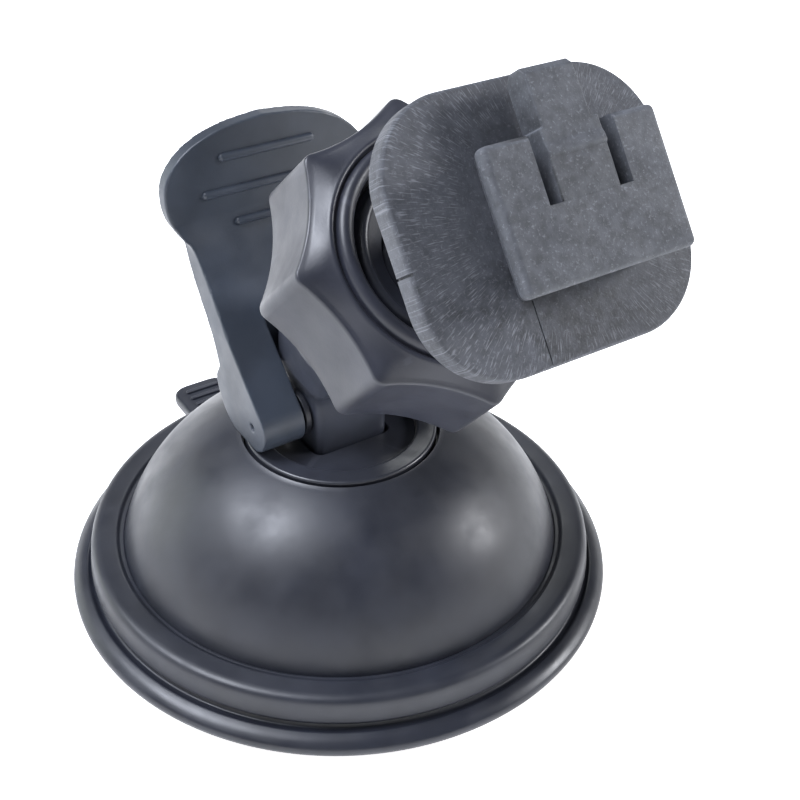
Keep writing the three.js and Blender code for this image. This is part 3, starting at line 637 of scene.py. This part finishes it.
dress(cam_lever(), lever, "lever", "lever_plastic", "cam_lever")
for number, (z, half_length, sink) in enumerate(((44.4, 5.1, 0.0), (40.9, 7.4, 0.0), (37.6, 4.2, 0.25))):
    dress(finger_rib("finger_rib_%d" % (number + 1), z, half_length, paddle_front(z) - sink), lever, "lever",
          "lever_plastic", "cam_lever")


# ---- lock nut and clamp ring ----
def lobe_outline():
    """The nut's outline for a corner radius of 1: hollow flats, with corners softened by averaging."""
    lobes, per_lobe, hollow, soften = 8, 44, 0.061, 3
    phase, step = math.radians(40), 2 * math.pi / lobes
    raw = []
    for lobe in range(lobes):
        corner = Vector((math.cos(phase + lobe * step), math.sin(phase + lobe * step)))
        after = Vector((math.cos(phase + (lobe + 1) * step), math.sin(phase + (lobe + 1) * step)))
        inward = -(corner + after).normalized()
        for i in range(per_lobe):
            t = i / per_lobe
            raw.append(corner.lerp(after, t) + inward * hollow * 4 * t * (1 - t))
    count = len(raw)
    soft = []
    for i in range(count):
        near = [raw[(i + k) % count] for k in range(-soften, soften + 1)]
        soft.append(sum(near, Vector((0, 0))) / len(near))
    return [p / soft[0].length for p in soft]


def lock_nut():
    """Rear face, lobed side, cone that turns from lobed to round, and the rounded mouth round the ball."""
    outline = lobe_outline()
    rim = 10.98
    side_low, side_height = -8.4, 7.95

    def ring_at(roundness, radius, z):
        """roundness 0 is the lobed outline at that corner radius, and 1 the circle of the radius."""
        points = []
        for p in outline:
            circle = p.normalized() * (radius if roundness == 1 else rim)
            spot = circle if roundness == 1 else (p * radius).lerp(circle, roundness)
            points.append((spot.x, spot.y, z))
        return points

    rear, front, edge = 14.48, 14.06, 0.7
    profile = [(1, 10.0, -8.7), (1, 10.3, side_low - edge), (1, 11.3, side_low - edge)]
    profile += [(0, rear - edge + edge * math.sin(t), side_low - edge * math.cos(t))
                for t in (math.radians(15 * k) for k in range(7))]
    side_steps = 5
    profile += [(0, rear + (front - rear) * k / side_steps, side_low + side_height * k / side_steps)
                for k in range(1, side_steps)]
    profile += [(0, front - 0.3 * (1 - math.cos(t)), side_low + side_height + 0.36 * math.sin(t))
                for t in (math.radians(15 * k) for k in range(6))]
    cone = 8
    profile += [(k / cone, front - 0.5, -0.02 + 1.0 * k / cone) for k in range(cone)]
    profile += [(1, rim, 0.98), (1, 10.85, 1.06), (1, 10.65, 1.06), (1, 10.5, 0.95), (1, 10.4, 0.72),
                (1, 10.28, 0.72)]
    profile += [(1, radius, z) for radius, z in arc(9.52, 0.85, 0.72, 0, 180, 14)]
    profile += [(1, 8.8, 0.3), (1, 8.8, -2.2), (1, 10.0, -2.2)]
    points, faces = skin([ring_at(*row) for row in profile], join_ends=True)
    return piece("clamp_nut", points, faces, NUT_PLACE, sharp=38)


dress(lock_nut(), nut, "nut", "nut_plastic", "lock_nut")
SOCKET = 6.7
clamp_profile = rounded([
    (8.0, -4.9), (8.0, -4.1), (9.5, -4.1, 0.2), (9.5, -2.5, 0.2), (8.3, -2.5), (8.3, -0.9, 0.3),
    (7.85, -0.05, 0.3), (7.4, 0.1, 0.2), (7.0, -0.1, 0.2),
]) + arc(0, -BALL_DEPTH, SOCKET, 36, 2.5, 14)
dress(lathe("clamp_ring", clamp_profile, NUT_PLACE), clamp, "clamp_ring", "pressure_plastic", "pressure_ring")
seat_profile = arc(0, -BALL_DEPTH, 8.0, -90, -2, 16) + arc(0, -BALL_DEPTH, SOCKET, -2, -90, 16)
dress(lathe("ball_cup", seat_profile, NUT_PLACE, 96), nylon, "neck", "seat_nylon", "ball_seat")
ball_profile = arc(0, -BALL_DEPTH, 6.4, -90, 90, 48)
dress(lathe("swivel_ball", ball_profile, NUT_PLACE, 128), ball_skin, "ball_body", "ball_plastic", "ball")

# ---- stem, plate, block and tongue: z = 0 at the ball's centre ----
STEM_FOOT = 6.7
stem_profile = [(0, STEM_FOOT)] + arc(0, 0, STEM_FOOT, 88, 59.6, 8) + rounded([
    (3.4, 6.2), (3.4, 15.0, 1.2), (3.9, 16.4, 0.6), (5.0, 16.9, 0.3), (5.0, 17.7, 0.2), (2.0, 17.7),
    (2.0, 21.8, 0.2), (0, 21.8),
], closed=False)
dress(lathe("swivel_stem", stem_profile, PLATE_PLACE, 112), stem, "stem", "stem_plastic", "ball_stem")


def pivot_bore():
    """A cutter for the hole that the stem's pivot turns in."""
    return bore(2.3, 17, 22.1, PLATE_PLACE)


def rectangle(left, bottom, right, top, corner=0.0, steps=12):
    """A rectangle's outline, with round corners where a corner radius is given."""
    if corner == 0:
        return [(left, bottom), (right, bottom), (right, top), (left, top)]
    out = arc(right - corner, bottom + corner, corner, -90, 0, steps)
    out += arc(right - corner, top - corner, corner, 0, 90, steps)
    out += arc(left + corner, top - corner, corner, 90, 180, steps)
    return out + arc(left + corner, bottom + corner, corner, 180, 270, steps)


def mount_plate():
    """The rounded plate, with softened edges on both faces."""
    half_x, half_y, corner = 12.75, 10.9, 7.0
    rings = []
    edges = ((0.35, 18.0), (0.12, 18.08), (0.0, 18.35), (0.0, 19.9), (0.1, 20.15), (0.32, PLATE_FACE))
    for inset, z in edges:
        x, y = half_x - inset, half_y - inset
        outline = rectangle(-x, -y, x, y, corner - inset, 24)
        rings.append([(a, b, z) for a, b in outline])
    points, faces = skin(rings, True, True)
    item = piece("plate", points, faces, PLATE_PLACE, sharp=50)
    combine(item, pivot_bore(), "DIFFERENCE")
    # The mould's parting line below the block, and the nick at the plate's left edge.
    parting_line = rectangle(-3.66, -11.5, -3.56, -5.0)
    nick = rectangle(-13.5, -1.35, -12.45, -1.15)
    for outline, low in ((parting_line, 20.2), (nick, 17.5)):
        combine(item, prism("cutter", outline, low, 20.5, PLATE_PLACE), "DIFFERENCE")
    return even_normals(item)


def t_block():
    """The undercut block, with its slots open at the top for the tongue."""
    low = PLATE_FACE - 0.05
    lip, top = PLATE_FACE + 3.19, PLATE_FACE + BLOCK_DEPTH
    outline = [(-4.9, low), (7.1, low), (7.1, lip), (9.1, lip), (9.1, top), (-6.9, top), (-6.9, lip),
               (-4.9, lip)]
    half_length = 5.55
    item = bevel(prism("t_block", outline, -half_length, half_length, PLATE_PLACE @ ALONG_Y), 0.55, 5)
    slots = [(-2.8, ROOT), (5.0, ROOT), (5.0, 7.0), (-2.8, 7.0)]
    combine(item, prism("cutter", slots, PLATE_FACE - 1, PLATE_FACE + 6, PLATE_PLACE), "DIFFERENCE")
    combine(item, pivot_bore(), "DIFFERENCE")
    return even_normals(item)


def latch_tongue():
    """The tongue between the block's slots, with a low step across it and a narrower tip."""
    rear, front = PLATE_FACE + 1.9, PLATE_FACE + BLOCK_DEPTH
    side = [(-1.5, rear), (9.6, rear), (10.3, rear + 0.7), (10.3, front - 0.75), (9.8, front - 0.25),
            (4.75, front - 0.02), (4.55, front + 0.03), (4.3, front + 0.12), (3.75, front + 0.2),
            (3.5, front), (-1.5, front)]
    item = prism("latch", side, -1.6, 3.8, PLATE_PLACE @ ALONG_X)
    for left, right in ((-3, -1.3), (3.2, 6)):
        cutter = prism("cutter", rectangle(left, 5.75, right, 12), rear - 1, front + 1, PLATE_PLACE)
        combine(item, cutter, "DIFFERENCE")
    bevel(item, 0.22, 3, angle=40)
    # The root is cut to meet the block. Behind its hinge line it steps back, to clear the block when pressed.
    hinge, seam, relief = PLATE_FACE + 2.55, 0.01, 0.16
    for setback, high in ((seam, front + 2), (relief, hinge)):
        cutter = prism("cutter", rectangle(-5, -5, 8, ROOT + setback), rear - 2, high, PLATE_PLACE)
        combine(item, cutter, "DIFFERENCE")
    return even_normals(item)


dress(mount_plate(), plate, "plate", "plate_plastic", "mount_plate")
dress(t_block(), block, "plate", "plate_plastic", "mount_plate")
dress(latch_tongue(), block, "latch", "tongue_plastic", "latch_tongue")


# ---- return spring, built at one length; on the mount it shortens as the plunger rises ----
def coil_spring():
    """An open coil of round wire from the insert to the seat under the dome's roof."""
    wire, coil, turns, foot = 0.45, 9.5, 3.5, 4.9
    steps, wire_sides = 168, 14
    pitch = (SPRING_TOP - foot - 2 * wire) / (2 * math.pi * turns)
    slope = math.atan2(pitch, coil)
    rings = []
    for k in range(steps + 1):
        angle = 2 * math.pi * turns * k / steps
        out = Vector((math.cos(angle), math.sin(angle), 0))
        level = Vector((-math.sin(angle), math.cos(angle), 0))
        along = math.cos(slope) * level + Vector((0, 0, math.sin(slope)))
        side = along.cross(out)
        centre = coil * out + Vector((0, 0, foot + wire + pitch * angle))
        rings.append([tuple(centre + wire * (math.cos(t) * out + math.sin(t) * side))
                      for t in full_turn(wire_sides)])
    points, faces = skin(rings, True, True)
    return piece("coil_spring", points, faces)


coil_item = dress(coil_spring(), spring, "base", "spring_steel", "return_spring")
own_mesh(coil_item)

# ---- inner pieces kept as packed ----
for name, material in (("pad_insert", nylon), ("post_screw", spring), ("spring_seat", nylon)):
    nodes[name].data.materials.clear()
    nodes[name].data.materials.append(material)
    nodes[name].data.shade_smooth()
    nodes[name].data.set_sharp_from_angle(angle=math.radians(40))
